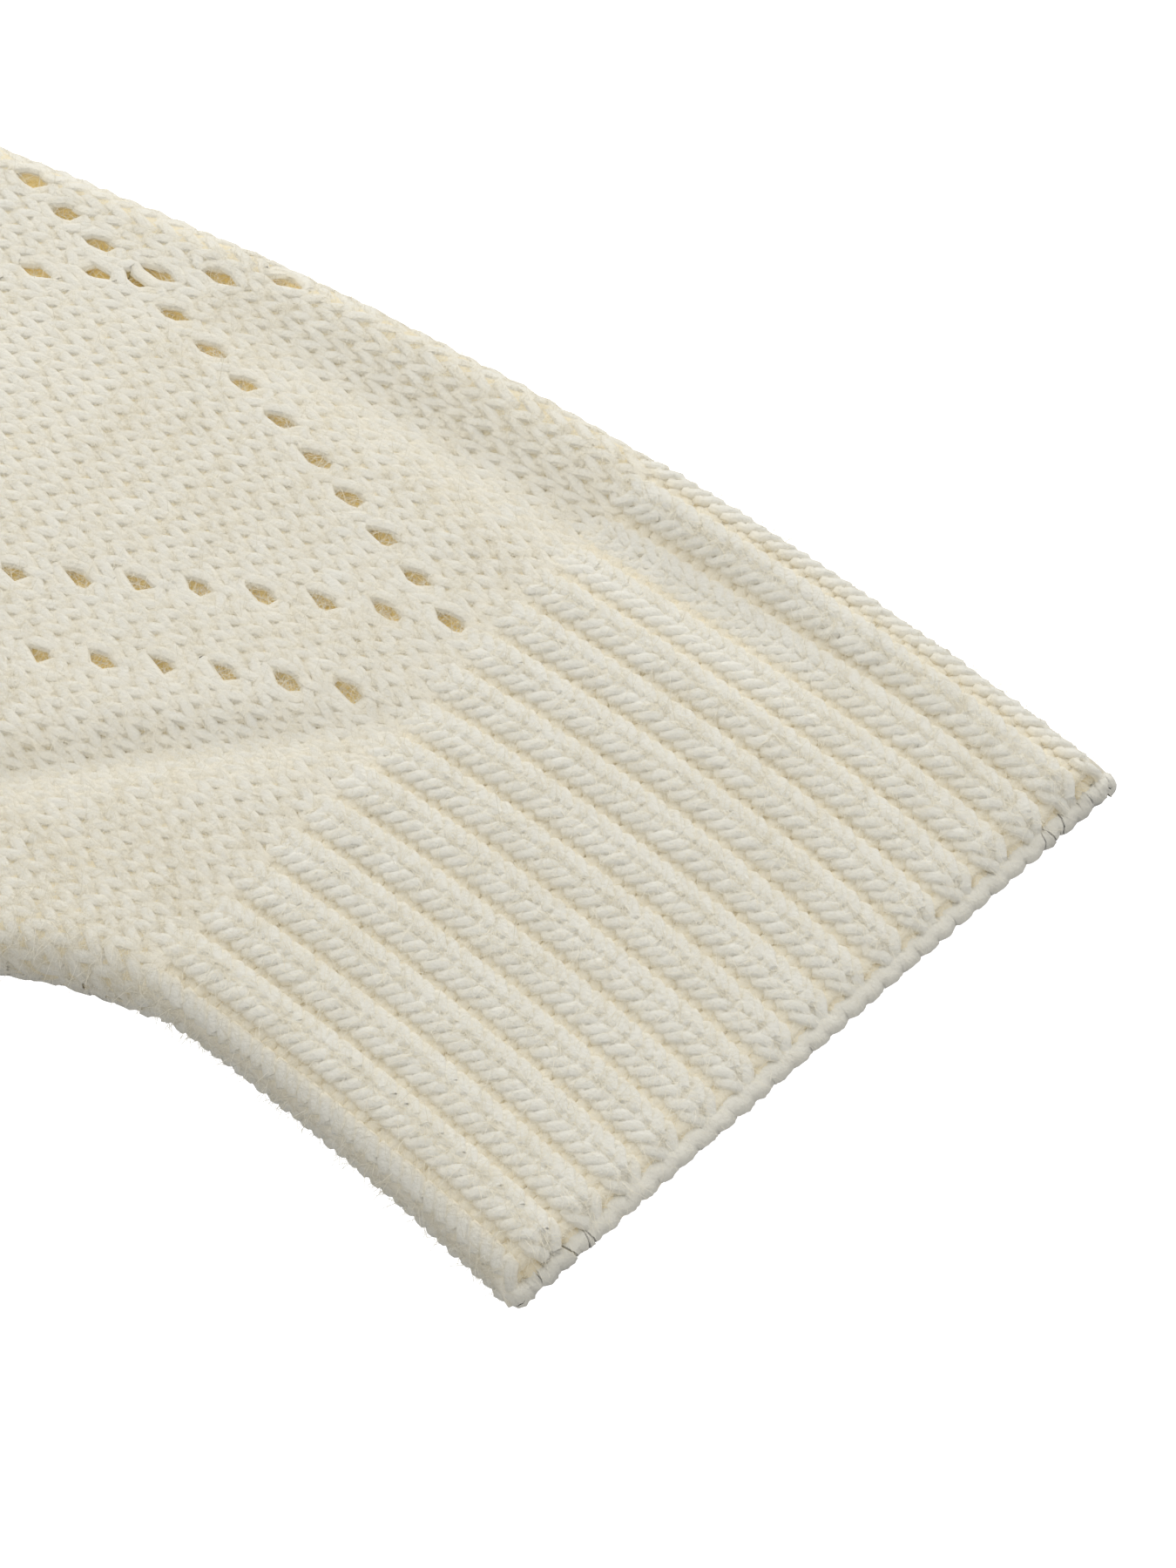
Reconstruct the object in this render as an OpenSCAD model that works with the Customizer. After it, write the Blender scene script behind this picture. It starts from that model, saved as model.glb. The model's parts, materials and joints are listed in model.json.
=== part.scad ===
// Knitted fingerless glove, one hand, lying flat with the back of the hand up.
// A ribbed wrist cuff, an openwork hand section, a short thumb and a ribbed finger end.
// Lengths run along the glove's centre line from the cuff edge, called s.
// Distances across run from the centre line: positive to the little-finger side,
// negative to the thumb side.

/* [Cuff] */
// Length of the ribbed wrist cuff, its edge included
cuff_length = 52.5; // [40:0.5:58]
// Width of the glove lying flat
flat_width = 80; // [76:1:84]
// Angle that the cuff end bends towards the thumb side
wrist_bend = 18.2; // [10:0.1:22]
// Length over which the bend runs out
bend_length = 112; // [100:1:130]

/* [Hand] */
// Length from the cuff edge to the finger edge
glove_length = 198; // [190:1:210]
// Length of the ribbed band at the finger end
finger_rib_length = 24; // [16:1:30]
// Length of each bound-off or cast-on edge
edge_length = 2.4; // [2:0.1:3]

/* [Fabric] */
// Thickness of one knitted wall
wall = 2.2; // [1.8:0.1:2.4]
// Radius of the folds at both sides, half of the thickness lying flat
fold_radius = 4.6; // [4.4:0.1:5.2]

/* [Thumb] */
// Distance from the cuff edge to where the thumb gusset starts to widen
gusset_start = 43; // [40:0.5:46]
// Distance from the cuff edge to where the gusset has reached the thumb's angle
gusset_end = 87; // [86:0.5:88]
// Width that the gusset adds at its end
gusset_width = 17.2; // [15:0.1:18]
// Angle between the thumb and the hand section
thumb_angle = 34; // [32:0.5:36]
// Width of the thumb lying flat
thumb_width = 29; // [27:0.5:29]
// Distance from the thumb's pivot to its open end
thumb_reach = 36; // [34:0.5:40]
// Length of the ribbed band on the thumb
thumb_rib_length = 11; // [8:0.5:13]

/* [Openwork] */
// Length of fabric from one hole to the next
hole_step = 5.5; // [5:0.1:6]
// Width of one column of stitches
stitch_width = 2.43; // [2.3:0.01:2.5]
// Sideways drift of the columns for each hole
drift = 0.34; // [0:0.01:0.4]
// Length of one hole
hole_length = 3.2; // [2:0.1:3.6]
// Width of one hole
hole_width = 1.1; // [0.8:0.1:1.3]

/* [Trim] */
// Radius of the linked side seams
seam_radius = 0.8; // [0.6:0.05:0.9]
// Radius of the knitting yarn
yarn_radius = 0.65; // [0.5:0.05:0.8]

/* [Hidden] */

IVORY = [0.87, 0.86, 0.80];
EDGE_IVORY = [0.84, 0.83, 0.76];

half_width = flat_width / 2;
bend_radius = bend_length / (wrist_bend * PI / 180);
finger_rib_start = glove_length - finger_rib_length;
finger_edge_start = glove_length - edge_length;

// The hand section is open towards the thumb between these two distances.
thumb_gap_start = 80;
thumb_gap_end = 112.6;
// The thumb root's inner border, measured from the centre line.
root_inner = 30;
// Running gap between the thumb root's round head and the thumb.
swing_gap = 0.3;
// How far the thumb swings towards the fingers from where it lies.
swing_in = 6;
thumb_half = thumb_width / 2;
thumb_rib_start = thumb_reach - thumb_rib_length;
thumb_edge_start = thumb_reach - edge_length;
// Where the thumb's own seam starts, measured from the pivot.
seam_base = 12;

// Each quarter of a fold is drawn with this many flats.
FOLD_FLATS = 6;
STATION_STEP = 5;
ROUND = 96;
EPS = 0.05;

// Centre line of the glove: an arc up to bend_length, then straight along -X.
function bend_at(s) = max(0, bend_length - s) / bend_radius * 180 / PI;
function centre(s) = s >= bend_length
    ? [bend_length - s, 0]
    : [bend_radius * sin(bend_at(s)), -bend_radius * (1 - cos(bend_at(s)))];
function across(s) = [sin(bend_at(s)), cos(bend_at(s))];
function at(s, v) = centre(s) + v * across(s);

// Distance from the centre line to the thumb-side fold.
function thumb_side(s) = half_width + (
    s > thumb_gap_start + EPS ? 0
    : gusset_width * pow(max(0, s - gusset_start) / (gusset_end - gusset_start), 2)
);

// Pivot of the thumb: half a thumb's width inside the gusset's outer edge.
gusset_tip = at(gusset_end, -half_width - gusset_width);
thumb_dir = [-cos(thumb_angle), -sin(thumb_angle)];
thumb_inward = [-sin(thumb_angle), cos(thumb_angle)];
pivot = gusset_tip + thumb_half * thumb_inward;
thumb_tip = pivot + thumb_reach * thumb_dir - thumb_half * thumb_inward;

// The origin is the middle of the glove's outline, on the face that it lies on.
middle = [
    (at(0, half_width).x + at(glove_length, 0).x) / 2,
    (half_width + thumb_tip.y) / 2
];

// One section of a tube of knitted fabric, from the far fold's lowest point round
// over the top to the near fold's lowest point.
function arc_points(centre_v, inset, from, to) = [
    for (i = [0:FOLD_FLATS * (to - from) / 90])
        let (a = from + 90 * i / FOLD_FLATS, r = fold_radius - inset)
            [centre_v + r * cos(a), fold_radius + r * sin(a)]
];
function full_loop(s, inset) = concat(
    arc_points(half_width - fold_radius, inset, -90, 90),
    arc_points(fold_radius - thumb_side(s), inset, 90, 270)
);
function upper_loop(s, inset) = concat(
    arc_points(half_width - fold_radius, inset, 0, 90),
    arc_points(fold_radius - thumb_side(s), inset, 90, 180)
);
function open_loop(s, inset) = concat(
    arc_points(half_width - fold_radius, inset, 0, 90),
    [[-root_inner, 2 * fold_radius - inset]]
);
function in_place(s, loop) = [for (p = loop) let (q = at(s, p.x)) [q.x, q.y, p.y]];
function stations(from, to) = let (n = ceil((to - from) / STATION_STEP))
    [for (i = [0:n]) from + (to - from) * i / n];

function split_quad(a, b, c, d) = [[a, b, c], [a, c, d]];

// A closed rod through sections that all have the same number of points.
module rod(sections) {
    n = len(sections[0]);
    m = len(sections);
    sides = [
        for (i = [0:m - 2]) for (k = [0:n - 1]) let (l = (k + 1) % n)
            each split_quad(i * n + k, i * n + l, (i + 1) * n + l, (i + 1) * n + k)
    ];
    first = [[for (k = [n - 1:-1:0]) k]];
    last = [[for (k = [0:n - 1]) (m - 1) * n + k]];
    polyhedron(points = [for (s = sections) each s], faces = concat(sides, first, last));
}

// A fabric wall between pairs of outer and inner sections. A closed wall runs all
// the way round; an open one has two long edges.
module fabric(outer, inner, closed) {
    n = len(outer[0]);
    m = len(outer);
    h = n * m;
    steps = closed ? n : n - 1;
    sides = [
        for (i = [0:m - 2]) for (k = [0:steps - 1]) let (l = (k + 1) % n, a = i * n, b = (i + 1) * n)
            each concat(
                split_quad(a + k, a + l, b + l, b + k),
                split_quad(h + a + k, h + b + k, h + b + l, h + a + l)
            )
    ];
    z = (m - 1) * n;
    ends = [
        for (k = [0:steps - 1]) let (l = (k + 1) % n)
            each concat(
                split_quad(l, k, h + k, h + l),
                split_quad(z + k, z + l, h + z + l, h + z + k)
            )
    ];
    edges = closed ? [] : [
        for (i = [0:m - 2]) let (a = i * n, b = (i + 1) * n, e = n - 1)
            each concat(
                split_quad(a, b, h + b, h + a),
                split_quad(b + e, a + e, h + a + e, h + b + e)
            )
    ];
    polyhedron(
        points = concat([for (s = outer) each s], [for (s = inner) each s]),
        faces = concat(sides, ends, edges)
    );
}

module knitted_tube(from, to) {
    fabric(
        [for (s = stations(from, to)) in_place(s, full_loop(s, 0))],
        [for (s = stations(from, to)) in_place(s, full_loop(s, wall))],
        true
    );
}

// The upper half of the hand section between two distances, with the thumb-side
// fold or open beside the thumb root.
module folded_half(from, to) {
    fabric(
        [for (s = stations(from, to)) in_place(s, upper_loop(s, 0))],
        [for (s = stations(from, to)) in_place(s, upper_loop(s, wall))],
        false
    );
}
module open_half(from, to) {
    fabric(
        [for (s = stations(from, to)) in_place(s, open_loop(s, 0))],
        [for (s = stations(from, to)) in_place(s, open_loop(s, wall))],
        false
    );
}
module hand_half() {
    folded_half(cuff_length, thumb_gap_start);
    open_half(thumb_gap_start, thumb_gap_end);
    folded_half(thumb_gap_end, finger_rib_start);
}

// One hole of the openwork, long along the stitches.
module eyelet(s, v) {
    p = at(s, v);
    translate([p.x, p.y, fold_radius + EPS])
        rotate([0, 0, -bend_at(s)])
            translate([-hole_length / 2, -hole_width / 2, 0])
                cube([hole_length, hole_width, fold_radius]);
}
// A line of holes that climbs one column of stitches at each step.
module eyelet_line(s, v, count, side) {
    for (i = [0:count - 1])
        eyelet(s + i * hole_step, v + i * (side * stitch_width - drift));
}

module back_panel() {
    color(IVORY) difference() {
        hand_half();
        // The two lines that meet in a point above the cuff.
        eyelet_line(56.3, 10.3, 13, 1);
        eyelet_line(61.8, 7.53, 9, -1);
        // The line beside them, nearer the thumb, and the one at the far side.
        eyelet_line(57.8, -1.7, 8, -1);
        eyelet_line(93.4, 36.3, 11, -1);
        // The lines that close the diamond towards the fingers.
        eyelet_line(111.3, -17.4, 11, 1);
    }
}

module palm_panel() {
    color(IVORY) translate([0, 0, 2 * fold_radius]) mirror([0, 0, 1]) hand_half();
}

module cuff_edge() {
    color(EDGE_IVORY) knitted_tube(0, edge_length);
}
module cuff_rib() {
    color(IVORY) knitted_tube(edge_length, cuff_length);
}
module finger_rib() {
    color(IVORY) knitted_tube(finger_rib_start, finger_edge_start);
}
module finger_edge() {
    color(EDGE_IVORY) knitted_tube(finger_edge_start, glove_length);
}

// The widened part of the hand section that the thumb swings on: an upper and a
// lower wall with a round head, and side walls where nothing else closes them.
module root_outline() {
    polygon(concat(
        [for (s = stations(thumb_gap_start, thumb_gap_end)) at(s, -root_inner)],
        [at(thumb_gap_end, -half_width), pivot, gusset_tip],
        [at(thumb_gap_start, -thumb_side(thumb_gap_start))]
    ));
    translate(pivot) circle(r = thumb_half, $fn = ROUND);
}
// The thumb root's side walls in plan. They run past its outline on the outside.
module root_walls() {
    // Outer side, from the open end of the gusset's fold to the thumb.
    start = at(thumb_gap_start, -thumb_side(thumb_gap_start));
    polygon([
        start + wall * thumb_dir,
        start - wall * thumb_inward - thumb_width * thumb_dir,
        gusset_tip - wall * thumb_inward,
        gusset_tip + wall * thumb_inward,
        start + wall * thumb_inward - thumb_width * thumb_dir
    ]);
    difference() {
        // Wedges of the round head: the outer side, then the web beside the hand.
        union() {
            head_wedge(70, 95);
            head_wedge(-61, -44);
        }
        translate(pivot) circle(r = thumb_half - wall, $fn = ROUND);
    }
}
module head_wedge(from, to) {
    reach = thumb_half + wall;
    translate(pivot) rotate(180 + thumb_angle)
        polygon([[0, 0], reach * [cos(from), sin(from)], reach * [cos(to), sin(to)]]);
}
module thumb_root() {
    color(IVORY) difference() {
        linear_extrude(2 * fold_radius) root_outline();
        translate([0, 0, wall]) linear_extrude(2 * (fold_radius - wall)) difference() {
            translate(pivot) square(6 * thumb_half, center = true);
            root_walls();
        }
    }
}

// A length of the thumb, which is straight, between two distances from the pivot.
module thumb_section(inset) {
    r = fold_radius - inset;
    flat = thumb_half - fold_radius;
    for (side = [-1, 1]) translate([side * flat, fold_radius]) circle(r = r, $fn = ROUND);
    translate([-flat, inset]) square([2 * flat, 2 * r]);
}
module on_thumb() {
    translate(pivot) rotate([0, 0, 180 + thumb_angle]) children();
}
module thumb_length(from, to) {
    on_thumb() translate([from, 0, 0])
        rotate([90, 0, 90]) linear_extrude(to - from) difference() {
            thumb_section(0);
            thumb_section(wall);
        }
}
module thumb_tube() {
    color(IVORY) difference() {
        thumb_length(0, thumb_rib_start);
        translate([pivot.x, pivot.y, -EPS])
            cylinder(r = thumb_half + swing_gap, h = 2 * (fold_radius + EPS), $fn = ROUND);
        // Room for the hand's side fold when the thumb swings inward.
        translate(pivot) rotate([0, 0, swing_in])
            translate([-2 * thumb_width, -half_width - swing_gap - pivot.y, -EPS])
                cube([3 * thumb_width, thumb_width, 2 * (fold_radius + EPS)]);
    }
}
module thumb_rib() {
    color(IVORY) thumb_length(thumb_rib_start, thumb_edge_start);
}
module thumb_edge() {
    color(EDGE_IVORY) thumb_length(thumb_edge_start, thumb_reach);
}

// A thin rod inside the thumb-side fold, as a linked seam or a woven-in yarn end.
module inside_rod(from, to, radius, inset, height) {
    rod([
        for (s = stations(from, to))
            in_place(s, [
                for (k = [0:7])
                    [inset + radius * (1 + cos(45 * k)) - thumb_side(s), height + radius * sin(45 * k)]
            ])
    ]);
}
module wrist_seam() {
    color(EDGE_IVORY)
        inside_rod(edge_length, thumb_gap_start - 2, seam_radius, wall + EPS, fold_radius);
}
module hand_seam() {
    color(EDGE_IVORY)
        inside_rod(thumb_gap_end + 1, finger_edge_start, seam_radius, wall + EPS, fold_radius);
}
module thumb_seam() {
    color(EDGE_IVORY) on_thumb()
        translate([seam_base, thumb_half - wall - seam_radius - EPS, fold_radius])
            rotate([0, 90, 0])
                cylinder(r = seam_radius, h = thumb_edge_start - seam_base, $fn = 24);
}

module cuff_yarn_end() {
    inset = wall + 2 * seam_radius + 2 * EPS;
    color(IVORY) inside_rod(edge_length, edge_length + 26, yarn_radius, inset, fold_radius);
}
module finger_yarn_end() {
    color(IVORY)
        inside_rod(finger_edge_start - 26, finger_edge_start, yarn_radius,
            wall + 2 * seam_radius + 2 * EPS, fold_radius);
}

module placed() {
    translate([-middle.x, -middle.y, 0]) children();
}

placed() cuff_edge();
placed() cuff_rib();
placed() back_panel();
placed() palm_panel();
placed() finger_rib();
placed() finger_edge();
placed() thumb_root();
placed() thumb_tube();
placed() thumb_rib();
placed() thumb_edge();
placed() wrist_seam();
placed() hand_seam();
placed() thumb_seam();
placed() cuff_yarn_end();
placed() finger_yarn_end();
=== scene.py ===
"""Looks for the knitted fingerless glove: every stitch is a real loop of plied yarn.

Lengths in this file are millimetres until mesh() turns them into metres in the CAD frame.
Two measures give a place on the fabric: s runs along the glove from the cuff edge to the
finger edge, and p runs round the tube from the middle of the far fold, positive over the
back of the hand and negative under the palm. h is the height out of the fabric.
"""
import json
import math

import bpy
import numpy as np
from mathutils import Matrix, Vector


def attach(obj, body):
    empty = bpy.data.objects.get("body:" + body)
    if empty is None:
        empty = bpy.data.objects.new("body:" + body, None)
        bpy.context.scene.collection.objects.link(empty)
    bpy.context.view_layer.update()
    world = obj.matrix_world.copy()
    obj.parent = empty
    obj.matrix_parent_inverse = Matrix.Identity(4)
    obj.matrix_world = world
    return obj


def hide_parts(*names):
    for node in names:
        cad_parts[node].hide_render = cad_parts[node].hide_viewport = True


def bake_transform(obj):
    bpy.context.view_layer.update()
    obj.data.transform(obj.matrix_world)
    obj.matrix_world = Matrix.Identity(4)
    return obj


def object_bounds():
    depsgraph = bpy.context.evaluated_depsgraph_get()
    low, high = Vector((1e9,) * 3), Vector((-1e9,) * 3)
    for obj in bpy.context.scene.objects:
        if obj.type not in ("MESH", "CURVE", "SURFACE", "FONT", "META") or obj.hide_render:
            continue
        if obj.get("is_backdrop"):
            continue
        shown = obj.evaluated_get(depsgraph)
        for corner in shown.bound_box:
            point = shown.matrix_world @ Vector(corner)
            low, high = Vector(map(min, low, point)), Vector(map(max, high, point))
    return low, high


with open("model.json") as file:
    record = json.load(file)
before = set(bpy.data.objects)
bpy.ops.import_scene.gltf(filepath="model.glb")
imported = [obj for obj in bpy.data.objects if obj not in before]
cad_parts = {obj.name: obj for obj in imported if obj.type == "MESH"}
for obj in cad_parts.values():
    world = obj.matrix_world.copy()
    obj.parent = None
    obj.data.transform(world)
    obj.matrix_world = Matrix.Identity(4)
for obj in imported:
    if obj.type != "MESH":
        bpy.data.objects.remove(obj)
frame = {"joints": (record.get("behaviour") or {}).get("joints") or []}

BOUNDS_AT_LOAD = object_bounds()
rng = np.random.default_rng(7)
MM = 0.001

# ---------------------------------------------------------------- sizes
LENGTH = 198.0  # from the cuff edge to the finger edge
CUFF = 52.5  # where the cuff's rib ends
FINGER_RIB = 174.0  # where the finger end's rib starts
HALF = 40.0  # half the flat width
FOLD = 4.4  # outside radius of the side folds, and the height of their axis
MID = 2.7  # radius of the side folds where h is 0
BEND_DEG, BEND_LENGTH = 18.2, 112.0  # the wrist's bend: its turn, and how far along it ends
BEND_RADIUS = BEND_LENGTH / math.radians(BEND_DEG)
GUSSET_START, GUSSET_END, GUSSET_WIDTH = 43.0, 87.0, 17.2
THUMB_ANGLE = math.radians(34.0)  # between the thumb and the hand
INWARD = math.radians(6.0)  # how far the thumb can swing towards the hand
THUMB_HALF = 14.5  # half the thumb's flat width
THUMB_BASE = 2.5  # where the thumb's own knitting starts, from its pivot
THUMB_RIB, THUMB_END = 25.0, 36.0  # where the thumb's rib starts and ends, from its pivot
WALES = 33  # across each face of the hand
THUMB_WALES = 12  # across each face of the thumb
COURSE_RIB, COURSE_PLAIN = 1.57, 2.74  # from one course to the next
DRIFT = 0.062  # how far the plain wales lean across per millimetre along
YARN_RADIUS = 0.74


def arc(radius):
    """Length of half a turn of the fold."""
    return math.pi * radius


HALF_ROUND = arc(MID) + 2 * (HALF - FOLD)
WALE = HALF_ROUND / WALES
THUMB_ROUND = arc(MID) + 2 * (THUMB_HALF - FOLD)
THUMB_WALE = THUMB_ROUND / THUMB_WALES


# ---------------------------------------------------------------- where the fabric lies
def centre(s):
    """The glove's centre line: an arc for the wrist, then straight along -X."""
    turn = np.clip(BEND_LENGTH - s, 0, None) / BEND_RADIUS
    x = np.where(s < BEND_LENGTH, BEND_RADIUS * np.sin(turn), BEND_LENGTH - s)
    y = -BEND_RADIUS * (1 - np.cos(turn))
    return x, y, turn


def plan(s, v):
    """A place in plan from a distance along and a distance across."""
    x, y, turn = centre(s)
    return x + v * np.sin(turn), y + v * np.cos(turn)


TIP = np.array(plan(np.array(GUSSET_END), -HALF - GUSSET_WIDTH))
OUT = np.array([-math.cos(THUMB_ANGLE), -math.sin(THUMB_ANGLE)])
IN = np.array([-math.sin(THUMB_ANGLE), math.cos(THUMB_ANGLE)])
PIVOT = TIP + THUMB_HALF * IN
JOINT = frame["joints"][0]
SHIFT = np.array(JOINT["pos_m"][:2]) / MM - PIVOT
CUT_FROM, CUT_TO = 91.2, 107.0  # where the fabric runs on into the thumb
BASE_REACH, BASE_SLOPE = 59.6, 1.24  # how far out the thumb's base starts, and its slope back


def near(s):
    """How far the thumb side is from the centre line: it widens for the thumb, follows
    the thumb's base, then goes back to the hand's own width."""
    s = np.asarray(s, float)
    gusset = HALF + GUSSET_WIDTH * (np.clip(s - GUSSET_START, 0, None) / (GUSSET_END - GUSSET_START)) ** 2
    base = BASE_REACH - BASE_SLOPE * (s - CUT_FROM)
    return np.where(s < CUT_FROM, gusset, np.where(s < CUT_TO, base, HALF))


def rounded(p, far_half, near_half, height):
    """A stadium section: the place across and the height of a point at p, h off the
    fabric. The far fold is half a circle, then a flat run, then the near fold."""
    side = np.sign(p) + (p == 0)
    d = np.abs(p)
    quarter = arc(MID) / 2
    flat = far_half + near_half - 2 * FOLD
    r = MID + height
    first = d / MID
    last = (d - quarter - flat) / MID
    v = np.where(
        d < quarter,
        far_half - FOLD + r * np.cos(first),
        np.where(d < quarter + flat, far_half - FOLD - (d - quarter), FOLD - near_half - r * np.sin(last)),
    )
    z = np.where(d < quarter, r * np.sin(first), np.where(d < quarter + flat, r, r * np.cos(last)))
    return v, FOLD + side * z


def valley(distance, width, depth):
    """A soft crease: depth times a bell over the distance from its line."""
    return -depth * np.exp(-((distance / width) ** 2))


def relief(s, v):
    """How the upper layer sinks as it lies: slack in the middle, with soft creases."""
    edge = np.minimum(HALF - v, near(np.clip(s, 0, CUT_FROM)) + v)
    mouth = 1.3 * np.exp(-s / 7.0)
    sag = -(1.2 + mouth) * (1 - np.exp(-np.clip(edge - 4, 0, None) / 9.0))
    fold_valley = valley(v - 28.5 - 0.02 * (s - 50), 4.6, 3.3) * np.exp(-(((s - 58) / 34) ** 4))
    lace_line = (v - 0.3) + 0.93 * (s - 55)
    lace_crease = valley(lace_line / 1.37 + 3.4, 3.4, 2.6) / (1 + np.exp(-(s - 54) / 3.0))
    wrist = valley(s - 53.5, 3.5, 0.5)
    wave = 0.35 * np.sin(s / 17.0 + 0.6) * np.sin(v / 11.0 + s / 40.0)
    fade = 1 - np.exp(-np.clip(edge, 0, None) / 6.0)
    return sag + (fold_valley + lace_crease + wrist + wave) * fade


def hand(s, p, h):
    """Places on the hand and cuff, as an array of (x, y, z)."""
    near_half = near(s)
    v, z = rounded(p, HALF, near_half, h)
    z = z + np.where(p > 0, relief(s, v), 0.0) * np.clip((z - FOLD) / FOLD, 0, 1)
    lip = np.exp(-((s / 1.9) ** 2)) * (p > 0)
    z = z + lip * np.clip((z - FOLD) / FOLD, 0, 1) * (1.7 + 0.4 * h - z)
    x, y = plan(s, v)
    return np.stack([x, y, z], -1)


def thumb_near(s):
    """How far the thumb's inner fold is from its axis: its base is cut along a line that
    turns off the hand's side by as much as the thumb can swing inward."""
    angle = THUMB_ANGLE - INWARD
    reach = (-HALF - 0.6 - PIVOT[1] + math.sin(angle) * np.asarray(s, float)) / math.cos(angle)
    return np.minimum(reach, THUMB_HALF)


def thumb(s, p, h):
    """Places on the thumb: s runs from the pivot outward, p round from its outer fold."""
    v, z = rounded(p, THUMB_HALF, thumb_near(s), h)
    sag = -0.8 * (1 - np.exp(-np.clip(np.minimum(THUMB_HALF - v, thumb_near(s) + v) - 3, 0, None) / 5.0))
    z = z + np.where(p > 0, sag, 0.0) * np.clip((z - FOLD) / FOLD, 0, 1)
    xy = PIVOT + s[..., None] * OUT - v[..., None] * IN
    return np.concatenate([xy, z[..., None]], -1)


# ---------------------------------------------------------------- the eyelet lattice
HOLE_STEP = 5.5  # two courses along from hole to hole
HOLE_ACROSS, HOLE_DRIFT = 2.43, 0.34  # one wale across, and the wales' lean in one step


def eyelet_line(s, v, count, side):
    """Centres of a line of eyelets: two courses on and one wale across at each step."""
    step = np.arange(count)
    return np.stack([s + HOLE_STEP * step, v + step * (side * HOLE_ACROSS - HOLE_DRIFT)], -1)


EYELETS = np.concatenate([
    eyelet_line(56.3, 10.3, 13, 1),
    eyelet_line(61.8, 7.53, 9, -1),
    eyelet_line(59.06, -2.02, 8, -1),
    eyelet_line(93.4, 36.3, 11, -1),
    eyelet_line(111.3, -17.4, 11, 1),
])
EYELETS_P = arc(MID) / 2 + HALF - FOLD - EYELETS[:, 1]


def opened(s, p):
    """Pushes stitches out of the eyelets. Inside and near each hole a point at r, in
    units of the hole's half length and half width, goes out to the cube root of r^3 + 1."""
    long_half, wide_half, reach = 2.5, 1.35, 3.5
    for hole_s, hole_p in zip(EYELETS[:, 0], EYELETS_P):
        ds, dp = (s - hole_s) / long_half, (p - hole_p) / wide_half
        r = np.sqrt(ds**2 + dp**2) + 1e-4
        k = np.where(r < reach, np.cbrt(r**3 + 1) / r, 1.0)
        s, p = hole_s + ds * k * long_half, hole_p + dp * k * wide_half
    return s, p


# ---------------------------------------------------------------- yarn
def tube(path, lift, radius, sides, spin=0.0):
    """A yarn along path: at each point a ring of the given radius round the path's own
    direction, a little flattened into the fabric. Its two plies show as a ridge that
    comes round every 2.1 mm, and spin turns them. lift points out of the fabric. Gives
    vertices and faces."""
    ridge, ridge_step, flattened = 0.035, 2.1, 0.86
    n = len(path)
    along = np.gradient(path, axis=0)
    step = np.linalg.norm(along, axis=1, keepdims=True) + 1e-9
    along = along / step
    run = np.cumsum(step[:, 0])
    across = np.cross(along, lift)
    across /= np.linalg.norm(across, axis=1, keepdims=True) + 1e-9
    up = np.cross(across, along)
    angle = 2 * np.pi * np.arange(sides) / sides
    ply = 1 + ridge * np.cos(2 * angle[None, :] + 2 * np.pi * run[:, None] / ridge_step + spin)
    ring = radius * ply * (1 + rng.normal(0, 0.035, ply.shape))
    verts = (
        path[:, None, :]
        + (ring * np.cos(angle))[..., None] * across[:, None, :]
        + (flattened * ring * np.sin(angle))[..., None] * up[:, None, :]
    )
    i = np.arange(n - 1)[:, None] * sides
    k = np.arange(sides)[None, :]
    l = (k + 1) % sides
    faces = np.stack([i + k, i + sides + k, i + sides + l, i + l], -1).reshape(-1, 4)
    return verts.reshape(-1, 3), faces


def felted_normals(verts, centres, lift, share):
    """Shading normals of fuzzy yarn: the tube's own, turned part of the way towards the
    fabric's, because loose fibres spread the light between stitches."""
    own = verts - centres
    own /= np.linalg.norm(own, axis=1, keepdims=True) + 1e-9
    facing = np.clip((own * lift).sum(1, keepdims=True) + 0.6, 0, 1)
    mixed = own * (1 - share * facing) + lift * share * facing
    return mixed / (np.linalg.norm(mixed, axis=1, keepdims=True) + 1e-9)


def mesh(name, verts, faces, depth=None, normals=None):
    """Puts arrays of vertices in millimetres and quads into a new object in the CAD frame."""
    verts = np.array(verts, float)
    verts[:, :2] += SHIFT
    me = bpy.data.meshes.new(name)
    me.vertices.add(len(verts))
    me.vertices.foreach_set("co", (verts * MM).astype(np.float32).ravel())
    me.loops.add(faces.size)
    me.loops.foreach_set("vertex_index", faces.astype(np.int32).ravel())
    me.polygons.add(len(faces))
    me.polygons.foreach_set("loop_start", np.arange(0, faces.size, faces.shape[1], dtype=np.int32))
    me.polygons.foreach_set("use_smooth", np.full(len(faces), True))
    me.update(calc_edges=True)
    if depth is not None:
        me.attributes.new("depth", "FLOAT", "POINT").data.foreach_set("value", depth.astype(np.float32))
    if normals is not None:
        me.normals_split_custom_set_from_vertices(normals.astype(np.float32))
    ob = bpy.data.objects.new(name, me)
    bpy.context.scene.collection.objects.link(ob)
    return ob


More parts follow.
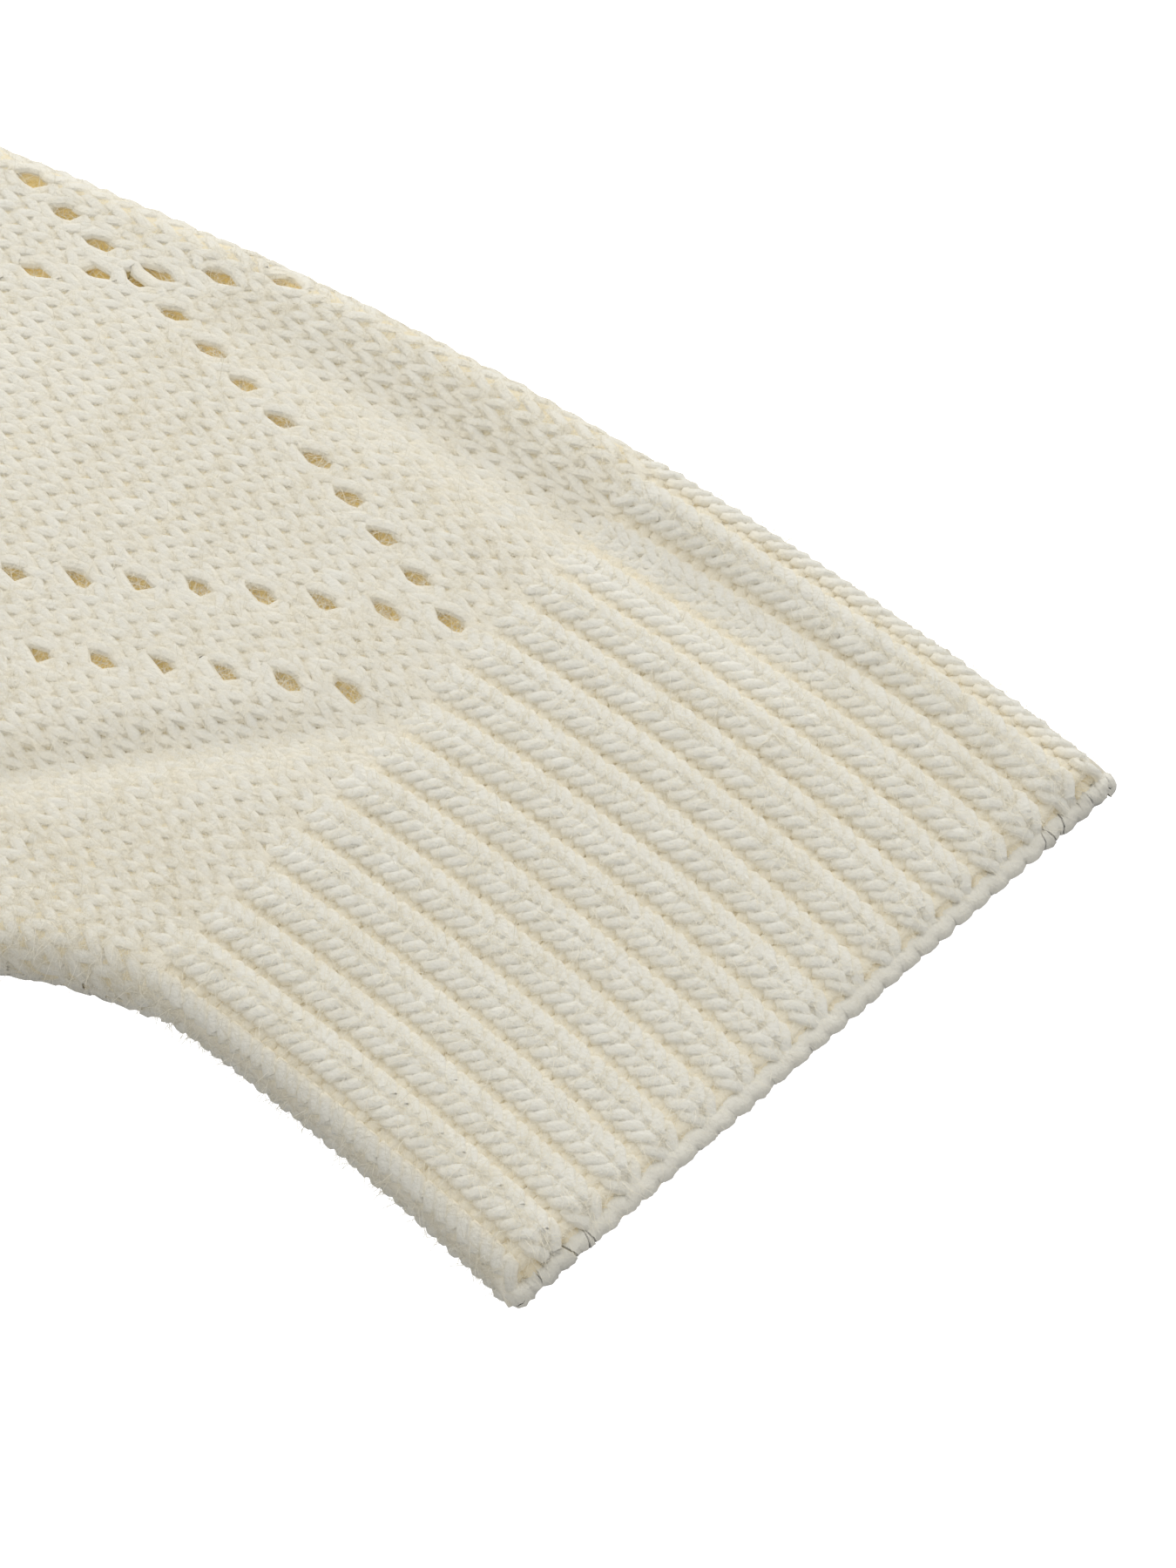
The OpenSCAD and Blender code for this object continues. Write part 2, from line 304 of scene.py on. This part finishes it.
def stitch(p, s0, wale, rib, drift, amp):
    """One course of knitting. In each wale the yarn goes up to a head and down to a foot:
    s = s0 + amp cos t, q = p + a sin 2t, h = -d cos 2t, with t once round per wale. In rib,
    whose strength runs from 0 to 1, the legs lean more and every second wale turns its
    back: q gains 0.58 mm times the sine of half that turn, so the faced wales widen over
    the others, and h gains the mean of the rib's wave at p and at q."""
    t = 2 * np.pi * ((p - drift) / wale - 0.5)
    unit = rib_wave(p, wale, drift)
    face = (1 - rib) + rib * np.tanh(2.5 * unit)
    s = s0 + amp * np.cos(t)
    q = p + (0.27 + 0.14 * rib) * wale * np.sin(2 * t)
    q = q + 0.58 * rib * np.sin(np.pi * ((p - drift) / wale - 0.5))
    h = -(0.22 + 0.08 * rib) * np.cos(2 * t) * face
    swell = 0.5 * (unit + rib_wave(q, wale, drift))
    h = h + rib * np.where(swell > 0, 0.95, 0.65) * swell + (1 - rib) * 0.45
    return s, q, h


def rib_wave(p, wale, drift=0.0):
    """Cosine wave of one rib and one valley per two wales, 1 on the rib's crest."""
    return np.cos(np.pi * ((p - drift) / wale - 0.5))


def soft_step(x):
    """0 below 0, 1 above 1, and smooth between."""
    x = np.clip(x, 0, 1)
    return x * x * (3 - 2 * x)


def in_rib(s, start, end):
    """How strong the rib is: 1 in the rib, 0 in the plain knitting, with a soft change."""
    return np.maximum(soft_step((start + 2.5 - s) / 5), soft_step((s - end + 2.5) / 5))


def knitted(name, place, rows, side, limit, wale, per, sides, lace=False):
    """A piece of knitting on one side of the tube: one yarn per course from the p = 0 fold
    to limit(s), by the stitch formula, carried by place(). It has per points to a wale and
    sides to its yarn. As in hand knitting, each course wanders along and in height by a
    tenth of a millimetre or two."""
    all_v, all_f, all_d, all_n = [], [], [], []
    count = 0
    for s0, rib, drift, amp, radius in rows:
        end = float(limit(s0))
        p = side * np.linspace(0, end, max(4, int(end / wale * per)))
        s, q, h = stitch(p, s0, wale, rib, drift, amp)
        wobble = np.interp(np.abs(p), np.linspace(0, end, 24), rng.normal(0, 0.15, 24))
        s = s + wobble + rng.normal(0, 0.03, len(p)).cumsum() * 0.02
        h = h + np.interp(np.abs(p), np.linspace(0, end, 30), rng.normal(0, 0.05, 30))
        if lace:
            s, q = opened(s, q)
        q = side * np.clip(side * q, 0.0, None)
        path = place(s, q, h)
        lift = place(s, q, h + 0.2) - path
        lift /= np.linalg.norm(lift, axis=1, keepdims=True) + 1e-9
        v, f = tube(path, lift, radius, sides, rng.uniform(0, 6.28))
        out = ((v - np.repeat(path, sides, 0)) * np.repeat(lift, sides, 0)).sum(1)
        all_v.append(v)
        all_f.append(f + count)
        # The depth attribute, height out of the fabric and 0.22 less in plain knitting, sets how much
        # painted tan shade the yarn takes.
        all_d.append(np.repeat(h, sides) + out - 0.22 * (1 - rib))
        centres, lifts = np.repeat(path, sides, 0), np.repeat(lift, sides, 0)
        all_n.append(felted_normals(v, centres, lifts, 0.70 - 0.20 * rib))
        count += len(v)
    return mesh(
        name, np.concatenate(all_v), np.concatenate(all_f), np.concatenate(all_d),
        normals=np.concatenate(all_n),
    )


def courses(start, end, pitch, strength, amp, radius, drift=0.0):
    """Courses between two distances: (s, rib strength, drift, loop height, yarn radius)."""
    n = int(round((end - start) / pitch))
    step = (end - start) / n
    s = start + (np.arange(n) + 0.5) * step
    return [(x, float(strength(x)), float(drift * (x - start)), amp, radius) for x in s]


def hand_limit(s):
    """How far round a course of the hand goes: to the middle of the near fold, or to the
    thumb's base where the fabric runs on into the thumb."""
    cut = (s > CUT_FROM) & (s < CUT_TO)
    fold = arc(MID) + HALF + near(s) - 2 * FOLD
    return np.where(cut, arc(MID) / 2 + HALF - FOLD + near(s), fold)


def thumb_limit(s):
    """How far round a course of the thumb goes: to the middle of its inner fold."""
    return arc(MID) + THUMB_HALF + thumb_near(s) - 2 * FOLD


# Points per wale and sides per yarn, on the side that is seen and on the underside.
FINE, COARSE = (16, 8), (9, 5)


def hand_rib(s):
    """How strong the hand's rib is, at the cuff and at the finger end."""
    return in_rib(s, CUFF, FINGER_RIB)


def thumb_rib(s):
    """How strong the rib is at the thumb's end."""
    return in_rib(s, -99.0, THUMB_RIB)


TWIST = DRIFT * (FINGER_RIB - CUFF)  # how far the wales have leant at the finger end's rib
cuff_rows = courses(1.7, CUFF, COURSE_RIB, hand_rib, 1.5, YARN_RADIUS)
body_rows = courses(CUFF, FINGER_RIB, COURSE_PLAIN, hand_rib, 2.05, YARN_RADIUS, DRIFT)
end_rows = courses(FINGER_RIB, LENGTH - 2, COURSE_RIB, hand_rib, 1.5, YARN_RADIUS)
end_rows = [(s, rib, TWIST, amp, radius) for s, rib, _, amp, radius in end_rows]
thumb_rows = courses(THUMB_BASE, THUMB_RIB, COURSE_PLAIN, thumb_rib, 2.05, YARN_RADIUS)
thumb_rib_rows = courses(THUMB_RIB, THUMB_END - 2, COURSE_RIB, thumb_rib, 1.25, YARN_RADIUS)

half = len(cuff_rows) // 2
third = len(body_rows) // 3 + 1
pieces = {}


def add(name, *args, **kw):
    """Knits a piece and keeps it by name."""
    pieces[name] = knitted(name, *args, **kw)
    return pieces[name]


add("cuff_rib_top_a", hand, cuff_rows[:half], 1, hand_limit, WALE, *FINE)
add("cuff_rib_top_b", hand, cuff_rows[half:], 1, hand_limit, WALE, *FINE)
add("cuff_rib_under", hand, cuff_rows[2:], -1, hand_limit, WALE, *COARSE)
for i in range(3):
    rows = body_rows[i * third:(i + 1) * third]
    add("back_%d" % (i + 1), hand, rows, 1, hand_limit, WALE, *FINE, lace=True)
add("palm_knit", hand, body_rows, -1, hand_limit, WALE, *COARSE)
add("finger_rib_top", hand, end_rows, 1, hand_limit, WALE, *FINE)
add("finger_rib_under", hand, end_rows, -1, hand_limit, WALE, *COARSE)
add("thumb_top", thumb, thumb_rows, 1, thumb_limit, THUMB_WALE, *FINE)
add("thumb_under", thumb, thumb_rows, -1, thumb_limit, THUMB_WALE, *COARSE)
add("thumb_rib_top", thumb, thumb_rib_rows, 1, thumb_limit, THUMB_WALE, *FINE)
add("thumb_rib_under", thumb, thumb_rib_rows, -1, thumb_limit, THUMB_WALE, *COARSE)


def edge_yarn(name, place, s0, outward, start, end, wale, swell, sides=8):
    """A cast-on or bound-off edge: one thick yarn that winds a little, once per wale, with
    s = s0 + 0.12 cos t and h = 0.25 sin t, and follows the rib's waves."""
    p = np.linspace(start, end, int((end - start) / wale * 16))
    t = 2 * np.pi * p / wale
    wave = rib_wave(p, wale)
    s = s0 + outward * (0.12 * np.cos(t) + 0.05 * wave)
    h = 0.25 * np.sin(t) + swell * wave
    path = place(s, p, h)
    lift = place(s, p, h + 0.2) - path
    lift /= np.linalg.norm(lift, axis=1, keepdims=True)
    v, f = tube(path, lift, 1.15, sides)
    n = felted_normals(v, np.repeat(path, sides, 0), np.repeat(lift, sides, 0), 0.3)
    return mesh(name, v, f, np.full(len(v), 1.1), normals=n)


H, T = HALF_ROUND, THUMB_ROUND  # half a turn of the hand and of the thumb
pieces["cuff_cast_on"] = edge_yarn("cuff_cast_on", hand, 1.05, -1, 0.0, H, WALE, 0.5)
pieces["cuff_cast_on_under"] = edge_yarn("cuff_cast_on_under", hand, 3.2, -1, -H, 0.0, WALE, 0.25)
pieces["finger_bind_off"] = edge_yarn("finger_bind_off", hand, LENGTH - 1.3, 1, -H, H, WALE, 0.5)
pieces["thumb_bind_off"] = edge_yarn("thumb_bind_off", thumb, THUMB_END - 1.3, 1, -T, T, THUMB_WALE, 0.5)


def seam(name, place, start, end, p_of, sides=6):
    """A linked seam: a yarn that winds along the side fold, one turn every 2.6 mm."""
    turn, thickness = 2.6, 0.45
    s = np.linspace(start, end, int((end - start) * 6))
    t = 2 * np.pi * s / turn
    path = place(s, p_of(s), np.zeros_like(s))
    lift = place(s, p_of(s), np.ones_like(s)) - path
    path = path + lift * (0.3 * np.cos(t) - 0.7)[:, None]
    path[:, 2] += 0.5 * np.sin(t)
    v, f = tube(path, lift, thickness, sides)
    # Depth 0.4 gives the seam yarn, low in the fold, a little of the painted tan shade.
    return mesh(name, v, f, np.full(len(v), 0.4))


pieces["wrist_seam_yarn"] = seam("wrist_seam_yarn", hand, 0.6, CUT_FROM, lambda s: hand_limit(s) - 0.02)
pieces["hand_seam_yarn"] = seam(
    "hand_seam_yarn", hand, CUT_TO + 0.5, LENGTH - 1, lambda s: hand_limit(s) - 0.02
)
pieces["thumb_seam_yarn"] = seam("thumb_seam_yarn", thumb, THUMB_BASE, THUMB_END - 1, lambda s: 0.01 + 0 * s)


# ---------------------------------------------------------------- the felted ground
GROUND_RIB, GROUND_PLAIN = 0.52, 0.92  # the skin's height out of the fabric


def eyelet_depth(s, p):
    """1 in the middle of an eyelet, falling to 0 at its rim."""
    near_hole = np.zeros(s.shape)
    for hole_s, hole_p in zip(EYELETS[:, 0], EYELETS_P):
        r2 = ((s - hole_s) / 2.1) ** 2 + ((p - hole_p) / 1.1) ** 2
        near_hole = np.maximum(near_hole, np.exp(-(r2**2)))
    return near_hole


def ground(name, place, s_list, limit, wale, rib_start, rib_end, side, drift=0.0, lace=False, per=8):
    """The felted fibres between the stitches, as one skin on a grid of s and p: it lies
    just under the tops of the yarn, waves with the rib and dips into the eyelets. Its
    colour is painted shade: tan in the rib's valleys and the eyelets, pale on the crests
    and at the cuff edge."""
    s = np.asarray(s_list, float)
    widths = limit(s) * MM
    n = int(float(limit(s).max()) / wale * per)
    S = np.repeat(s[:, None], n, 1)
    P = side * np.linspace(0, 1, n)[None, :] * limit(s)[:, None]
    rib = in_rib(S, rib_start, rib_end)
    end_drift = np.where(S > rib_start, drift * (np.clip(S, rib_start, rib_end) - rib_start), 0.0)
    wave = rib_wave(P, wale, end_drift)
    high = rib * (GROUND_RIB + 0.72 * wave - 0.18 * (1 - wave)) + (1 - rib) * GROUND_PLAIN
    hole = eyelet_depth(S, P) if lace else 0.0 * S
    high = high * (1 - hole) - 0.55 * hole + 0.5 * np.exp(-((S / 2.4) ** 2))
    v = place(S, P, high).reshape(-1, 3)
    i = np.arange(len(s) - 1)[:, None] * n
    k = np.arange(n - 1)[None, :]
    f = np.stack([i + k, i + k + 1, i + n + k + 1, i + n + k], -1).reshape(-1, 4)
    if side < 0:
        f = f[:, ::-1]
    # Painted shade: low in the rib's valleys and in the eyelets, so tan there; high on the crests and at the
    # raised cuff edge, so pale.
    shade_tone = (rib * (0.41 + 0.39 * wave) + (1 - rib) * 0.56) * (1 - hole)
    shade_tone = shade_tone + (0.9 - shade_tone) * np.exp(-((S / 2.2) ** 2))
    return mesh(name, v, f[:, ::-1], shade_tone.ravel())


for side, tag, per in ((1, "top", 8), (-1, "under", 5)):
    spec = (WALE, CUFF, FINGER_RIB, side, DRIFT)
    lace = side > 0
    s_cuff = np.linspace(0.6 if lace else 3.2, CUT_FROM - 0.05, 140)
    s_hand = np.linspace(CUT_TO + 0.05, LENGTH - 1.2, 130)
    s_root = np.linspace(CUT_FROM + 0.01, CUT_TO - 0.01, 32)
    for part, places in (("felt_cuff_", s_cuff), ("felt_hand_", s_hand), ("felt_root_", s_root)):
        name = part + tag
        pieces[name] = ground(name, hand, places, hand_limit, *spec, lace=lace, per=per)
    s_thumb = np.linspace(THUMB_BASE, THUMB_RIB, 24)
    s_end = np.linspace(THUMB_RIB, THUMB_END - 0.9, 14)
    spec = (THUMB_WALE, -99.0, THUMB_RIB, side)
    for part, places in (("felt_thumb_", s_thumb), ("thumb_end_felt_", s_end)):
        name = part + tag
        pieces[name] = ground(name, thumb, places, thumb_limit, *spec, per=per)


# ---------------------------------------------------------------- fuzz
def fuzz(name, count, s_from, s_to, seed):
    """Loose fibres on the back: short bent strips up to 0.05 mm wide, strewn at random."""
    r = np.random.default_rng(seed)
    s = r.uniform(s_from, s_to, count)
    p = r.uniform(0.0, 1.0, count) * hand_limit(s)
    rib = in_rib(s, CUFF, FINGER_RIB)
    wave = rib_wave(p, WALE, DRIFT * (np.clip(s, CUFF, FINGER_RIB) - CUFF))
    h = r.uniform(0.35, 0.75, count) + rib * 0.95 * wave + (1 - rib) * 0.45
    h = h - 1.5 * eyelet_depth(s, p)
    root = hand(s, p, h)
    up = hand(s, p, h + 0.5) - root
    up /= np.linalg.norm(up, axis=1, keepdims=True)
    way = r.normal(0, 1, (count, 3))
    way -= (way * up).sum(1, keepdims=True) * up
    way /= np.linalg.norm(way, axis=1, keepdims=True)
    length = np.minimum(r.gamma(3.0, 0.5, count)[:, None] + 0.5, 3.5)
    rise = np.abs(r.normal(0, 0.34, count))[:, None]
    curl = np.cross(way, up) * r.normal(0, 0.45, (count, 1))
    t = np.array([0, 0.5, 1.0])
    pts = (
        root[:, None]
        + length[:, None] * (way[:, None] * t[None, :, None] + curl[:, None] * (t**2)[None, :, None])
        + (length * rise)[:, None] * up[:, None] * (t * (1.4 - 0.7 * t))[None, :, None]
    )
    half = np.cross(way, up)[:, None] * 0.023 * (1.1 - 0.8 * t)[None, :, None]
    v = np.stack([pts - half, pts + half], 2).reshape(-1, 3)
    v[:, 2] = np.maximum(v[:, 2], 0.05)
    base = np.arange(count)[:, None] * 6
    k = np.arange(2)[None, :] * 2
    f = np.stack([base + k, base + k + 1, base + k + 3, base + k + 2], -1).reshape(-1, 4)
    return mesh(name, v, f)


pieces["fuzz_cuff"] = fuzz("fuzz_cuff", 40000, 1.4, CUFF, 3)
pieces["fuzz_back_a"] = fuzz("fuzz_back_a", 34000, CUFF, 100, 4)
pieces["fuzz_back_b"] = fuzz("fuzz_back_b", 34000, 100, LENGTH - 1.4, 5)


# ---------------------------------------------------------------- materials
# The depth attribute of a point is its height out of the fabric in millimetres, on the yarn, or a
# shade value from 0 in a hollow to about 1 on top, on the felted skin. The materials paint
# shade from it: low points take a tan painted shade in place of the yarn's own ivory.
def linear(hex_colour):
    """An sRGB hex colour as the linear values that the shaders take."""
    c = np.array([int(hex_colour[i:i + 2], 16) / 255 for i in (1, 3, 5)])
    return tuple(np.where(c <= 0.04045, c / 12.92, ((c + 0.055) / 1.055) ** 2.4)) + (1.0,)


def node(tree, kind, settings=None, inputs=None, links=None):
    """Adds a shader node with its settings, constant inputs and links in one go."""
    n = tree.nodes.new(kind)
    for key, value in (settings or {}).items():
        setattr(n, key, value)
    for key, value in (inputs or {}).items():
        n.inputs[key].default_value = value
    for key, socket in (links or {}).items():
        tree.links.new(socket, n.inputs[key])
    return n


def ivory_yarn(name, light, shade_colour, low, high):
    """Soft acrylic and wool yarn: the first colour, the yarn's own, where depth is high, and the
    second, a painted tan shade for the hollows, where depth is low; with a matte, slightly
    felted surface that catches light at its edges."""
    mat = bpy.data.materials.new(name)
    mat.use_nodes = True
    tree = mat.node_tree
    shader = tree.nodes["Principled BSDF"]
    depth = node(tree, "ShaderNodeAttribute", {"attribute_name": "depth"})
    ramp = node(
        tree, "ShaderNodeMapRange",
        inputs={"From Min": low, "From Max": high}, links={"Value": depth.outputs["Fac"]},
    )
    colour = node(
        tree, "ShaderNodeMix", {"data_type": "RGBA"},
        {6: linear(shade_colour), 7: linear(light)}, {0: ramp.outputs["Result"]},
    )
    coords = node(tree, "ShaderNodeTexCoord")
    noise = node(
        tree, "ShaderNodeTexNoise",
        inputs={"Scale": 1 / (0.35 * MM), "Detail": 4.0}, links={"Vector": coords.outputs["Object"]},
    )
    bump = node(
        tree, "ShaderNodeBump",
        inputs={"Strength": 0.5, "Distance": 0.25 * MM}, links={"Height": noise.outputs["Fac"]},
    )
    tree.links.new(colour.outputs[2], shader.inputs["Base Color"])
    tree.links.new(bump.outputs["Normal"], shader.inputs["Normal"])
    shader.inputs["Roughness"].default_value = 0.92
    shader.inputs["Specular IOR Level"].default_value = 0.15
    shader.inputs["Sheen Weight"].default_value = 0.35
    shader.inputs["Sheen Roughness"].default_value = 0.6
    return mat


# The second colour of each is painted shade: tan in the hollows between stitches, in the rib's valleys and
# in the eyelets.
yarn = ivory_yarn("ivory_yarn", "#EEEBDF", "#FFEBBA", -1.7, 1.2)
felt = ivory_yarn("felted_fibres", "#EEE9DA", "#FFE598", 0.0, 0.8)
# Loose wool fibres: plain, pale and matte, so that they only soften the yarn's outline.
fibre = bpy.data.materials.new("loose_fibres")
fibre.use_nodes = True
hair = fibre.node_tree.nodes["Principled BSDF"]
hair.inputs["Base Color"].default_value = linear("#EEE8D6")
hair.inputs["Roughness"].default_value = 0.9
hair.inputs["Specular IOR Level"].default_value = 0.1

# Which CAD nodes each piece stands for.
STANDS_FOR = {
    "cuff_rib_top_a": ["cuff_rib"],
    "back_1": ["back_panel"],
    "palm_knit": ["palm_panel"],
    "finger_rib_top": ["finger_rib"],
    "back_2": ["thumb_root"],
    "thumb_top": ["thumb_tube"],
    "thumb_rib_top": ["thumb_rib"],
    "cuff_cast_on": ["cuff_edge"],
    "finger_bind_off": ["finger_edge"],
    "thumb_bind_off": ["thumb_edge"],
    "wrist_seam_yarn": ["wrist_seam", "cuff_yarn_end"],
    "hand_seam_yarn": ["hand_seam", "finger_yarn_end"],
    "thumb_seam_yarn": ["thumb_seam"],
}
# Fabric where the thumb meets the hand, left on neither body with its place baked in; the rest rides on the
# hand or on the thumb.
BLENDED = ("thumb_top", "thumb_under", "thumb_seam_yarn", "felt_thumb_top", "felt_thumb_under")
for name, piece in pieces.items():
    piece.data.materials.append(felt if "felt" in name else fibre if name.startswith("fuzz") else yarn)
    if name in BLENDED:
        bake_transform(piece)
    else:
        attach(piece, "thumb" if name.startswith("thumb") else "hand")
    if name in STANDS_FOR:
        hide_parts(*STANDS_FOR[name])

# ---------------------------------------------------------------- stage, light, camera
floor_me = bpy.data.meshes.new("floor")
floor_me.from_pydata([(-3, -3, 0), (3, -3, 0), (3, 3, 0), (-3, 3, 0)], [], [(0, 1, 2, 3)])
floor = bpy.data.objects.new("floor", floor_me)
bpy.context.scene.collection.objects.link(floor)
white = bpy.data.materials.new("white_sweep")
white.use_nodes = True
shader = white.node_tree.nodes["Principled BSDF"]
shader.inputs["Base Color"].default_value = linear("#FAFAFA")
shader.inputs["Roughness"].default_value = 1.0
shader.inputs["Specular IOR Level"].default_value = 0.0
shader.inputs["Emission Color"].default_value = (1, 1, 1, 1)
shader.inputs["Emission Strength"].default_value = 1.0
floor_me.materials.append(white)
floor.visible_diffuse = False
floor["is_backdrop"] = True

# The white floor isn't seen by the light that bounces; this dimmer one, which the camera
# doesn't see, keeps the underside from being lit.
table = bpy.data.objects.new("table", floor_me.copy())
table.location.z = -0.0005
grey = bpy.data.materials.new("grey_table")
grey.use_nodes = True
grey.node_tree.nodes["Principled BSDF"].inputs["Base Color"].default_value = linear("#8C8C8C")
table.data.materials.clear()
table.data.materials.append(grey)
table.visible_camera = False
bpy.context.scene.collection.objects.link(table)
table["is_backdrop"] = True

world = bpy.data.worlds.new("studio")
bpy.context.scene.world = world
world.use_nodes = True
world.node_tree.nodes["Background"].inputs["Color"].default_value = (1, 1, 1, 1)
world.node_tree.nodes["Background"].inputs["Strength"].default_value = 0.615


def lamp(name, place, target, size, power):
    """A square soft box."""
    data = bpy.data.lights.new(name, "AREA")
    data.size = size
    data.energy = power
    ob = bpy.data.objects.new(name, data)
    ob.location = place
    direction = np.array(target) - np.array(place)
    ob.rotation_euler = Vector(direction).to_track_quat("-Z", "Y").to_euler()
    bpy.context.scene.collection.objects.link(ob)


lamp("key", (-0.33, 0.66, 0.52), (0.03, 0.0, 0.0), 0.9, 5.5)

scene = bpy.context.scene
camera_data = bpy.data.cameras.new("camera")
camera_data.sensor_fit = "VERTICAL"
camera_data.sensor_height = 36
camera_data.lens = 80
camera = bpy.data.objects.new("camera", camera_data)
scene.collection.objects.link(camera)
azimuth, elevation, distance = math.radians(28), math.radians(56), 333.3
look_at = np.array([77.37 + SHIFT[0], -3.15 + SHIFT[1], 4.0])
away = np.array([
    math.sin(azimuth) * math.cos(elevation),
    -math.cos(azimuth) * math.cos(elevation),
    math.sin(elevation),
])
camera.location = (look_at + distance * away) * MM
camera.rotation_euler = (math.pi / 2 - elevation, 0, azimuth)
scene.camera = camera
scene.view_settings.view_transform = "Standard"

boxes = {"at_load": BOUNDS_AT_LOAD, "at_end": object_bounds()}
boxes = {when: [[float(x) for x in corner] for corner in box] for when, box in boxes.items()}
